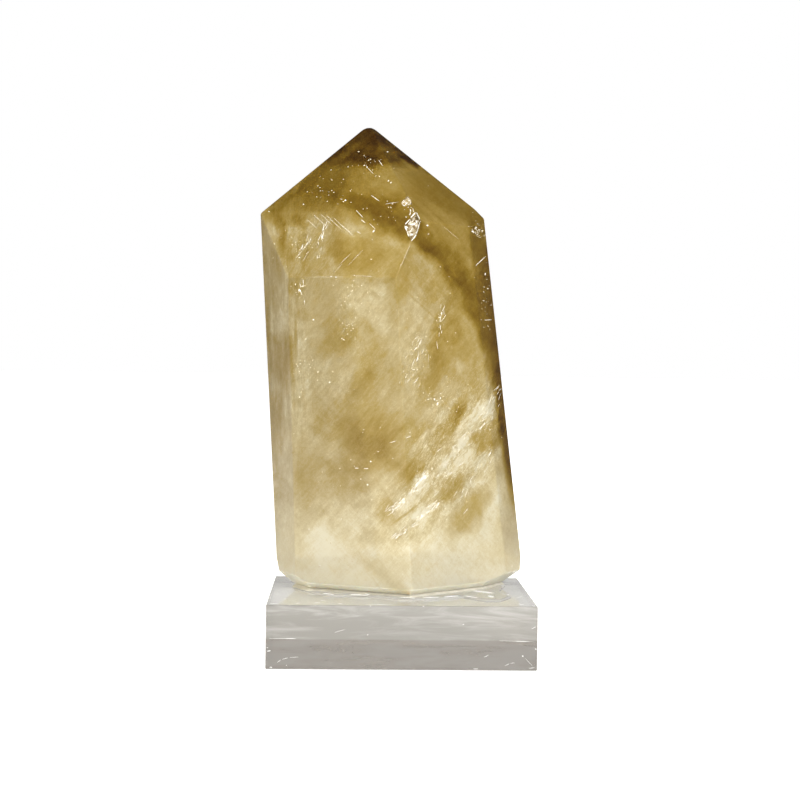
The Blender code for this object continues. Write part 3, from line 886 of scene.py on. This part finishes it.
def polish_marks():
    chance = Random(23)
    bruises = bmesh.new()
    for spot, long, wide, turn in GRAINS:
        mark(bruises, spot, long * GRAIN_SHARE, wide * GRAIN_SHARE, turn)
    pits = bmesh.new()
    for spot, spread, count in DRIFTS:
        drift_of_marks(pits, chance, spot, spread, count)
    for spot, spread, count in BACK_DRIFTS:
        drift_of_marks(pits, chance, spot, spread, count, -FRONT_LOOKS)
    lines = bmesh.new()
    for spot, long, wide, turn in HAIRLINES:
        mark(lines, spot, long, wide, turn)
    for start, end, wide in CRUSHED_AND_LIT_EDGES:
        stroke(lines, start, end, wide)
    fibres = bmesh.new()
    for row in SHEAVES:
        sheaf(fibres, chance, *row)
    white = bruise_and_highlight_quartz("bruise_and_highlight_quartz", (0.80, 0.72, 0.54), (1.0, 0.98, 0.92))
    dusty = bruise_and_highlight_quartz("pitted_quartz", (0.66, 0.56, 0.34), (0.96, 0.90, 0.72))
    for name, bm, finish in (("bruises_in_polish", bruises, white), ("hairlines_crush_and_lit_edges", lines, white),
                             ("pits_in_polish", pits, dusty), ("veil_fibres", fibres, white)):
        add_piece(name, bm, [finish])


polish_marks()


# The studio: a pale floor that runs into a white room, a soft light high behind the
# camera, a weaker, warmer one at the left, and the camera level with the crystal's middle.
CAMERA_PLACE = Vector((-15.7, -493.0, 93.2)) * MM
CAMERA_TURN, CAMERA_DIP, CAMERA_ROLL = radians(-1.76), radians(1.70), radians(0.73)
CAMERA_LENS = 71.3

# The room's brightness as seen, as a backdrop, as the fill from elsewhere and in mirrored
# rays. The backdrop begins and is full at the first pair, and fades out upwards over the
# second, as parts of a ray's direction.
ROOM_SEEN, BACKDROP, ROOM_FILL, ROOM_MIRRORED = 1.0, 0.76, 0.35, 0.05
BACKDROP_BEHIND, BACKDROP_UP = (0.55, 0.95), (0.8, 0.3)

# The floor's glow as seen, through the block, and through it from the spot under the
# block: an ellipse with these half sizes, whose edge fades over this share of them.
FLOOR_SEEN, FLOOR_THROUGH, FLOOR_UNDER = 0.9, 0.5, 2.2
FLOOR_SPOT, SPOT_EDGE = (48 * MM, 34 * MM), (1.1, 0.8)
FLOOR_RADIUS = 6.0
FLOOR_GAP = 0.2 * MM

# The lights: place, aim, size in metres, power in watts, colour.
KEY = ((0.3, -0.95, 0.66), (0, 0, 0.07), 0.5, 16.1, (1.0, 1.0, 1.0))
FILL = ((-0.95, 0.1, 0.3), (0, 0, 0.08), 0.75, 5.6, (1.0, 0.94, 0.76))
BOUNCES, TRANSPARENT_BOUNCES = 24, 16


def camera():
    lens = bpy.data.cameras.new("camera")
    lens.sensor_width = 36.0
    lens.lens = CAMERA_LENS
    lens.clip_start = 10 * MM
    eye = bpy.data.objects.new("camera", lens)
    aim = Matrix.Rotation(CAMERA_TURN, 4, "Z") @ Matrix.Rotation(pi / 2 - CAMERA_DIP, 4, "X")
    eye.matrix_world = Matrix.Translation(CAMERA_PLACE) @ aim @ Matrix.Rotation(CAMERA_ROLL, 4, "Z")
    bpy.context.scene.collection.objects.link(eye)
    bpy.context.scene.camera = eye


def soft_light(name, place, aim, size, power, colour):
    lamp = bpy.data.lights.new(name, "AREA")
    lamp.color = colour
    lamp.shape = "DISK"
    lamp.size = size
    lamp.energy = power
    holder = bpy.data.objects.new(name, lamp)
    holder.location = place
    holder.rotation_euler = (Vector(aim) - Vector(place)).to_track_quat("-Z", "Y").to_euler()
    bpy.context.scene.collection.objects.link(holder)
    return holder


def floor():
    bm = bmesh.new()
    bmesh.ops.create_circle(bm, cap_ends=True, radius=FLOOR_RADIUS, segments=64)
    bmesh.ops.translate(bm, vec=(0.0, 0.0, -FLOOR_GAP), verts=bm.verts)
    mesh = bpy.data.meshes.new("floor")
    bm.to_mesh(mesh)
    bm.free()
    finish, tree, shader, place = new_material("pale_floor")
    grain, _ = noise_at(tree, place, 40.0, detail=3.0)
    tint = blend_colours(tree, grain, (0.90, 0.90, 0.89), (0.93, 0.93, 0.92))
    tree.links.new(tint, shader.inputs["Base Color"])
    shader.inputs["Roughness"].default_value = 0.8
    path = add_node(tree, "LightPath").outputs
    scaled = add_node(tree, "Mapping", Vector=place, Scale=(1 / FLOOR_SPOT[0], 1 / FLOOR_SPOT[1], 0.0))
    reach = add_node(tree, "VectorMath", {"operation": "LENGTH"}, _0=scaled.outputs[0]).outputs["Value"]
    lit = between(tree, reach, *SPOT_EDGE, FLOOR_THROUGH, FLOOR_UNDER)
    through = sums(tree, "MULTIPLY", path["Is Transmission Ray"], lit)
    glow = sums(tree, "MULTIPLY_ADD", path["Is Camera Ray"], FLOOR_SEEN, through)
    shader.inputs["Emission Color"].default_value = (1.0, 1.0, 1.0, 1.0)
    tree.links.new(glow, shader.inputs["Emission Strength"])
    mesh.materials.append(finish)
    ground = bpy.data.objects.new("floor", mesh)
    bpy.context.scene.collection.objects.link(ground)


def white_room():
    """White to the camera, with a bright backdrop behind the object and a dim room before it."""
    world = bpy.data.worlds.new("white_room")
    world.use_nodes = True
    tree = world.node_tree
    path = add_node(tree, "LightPath").outputs
    way = add_node(tree, "SeparateXYZ", Vector=add_node(tree, "TexCoord").outputs["Generated"]).outputs
    low = between(tree, way[2], *BACKDROP_UP)
    behind = sums(tree, "MULTIPLY", between(tree, way[1], *BACKDROP_BEHIND), low)
    before = towards(tree, path["Is Glossy Ray"], ROOM_FILL, ROOM_MIRRORED)
    unseen = towards(tree, behind, before, BACKDROP)
    strength = towards(tree, path["Is Camera Ray"], unseen, ROOM_SEEN)
    room = tree.nodes["Background"]
    room.inputs["Color"].default_value = (1.0, 1.0, 1.0, 1.0)
    tree.links.new(strength, room.inputs["Strength"])
    bpy.context.scene.world = world


camera()
floor()
white_room()
soft_light("key", *KEY)
fill = soft_light("fill", *FILL)
fill.visible_glossy = False
bpy.context.scene.view_settings.view_transform = "Standard"
bpy.context.scene.cycles.max_bounces = BOUNCES
bpy.context.scene.cycles.transmission_bounces = BOUNCES
bpy.context.scene.cycles.transparent_max_bounces = TRANSPARENT_BOUNCES
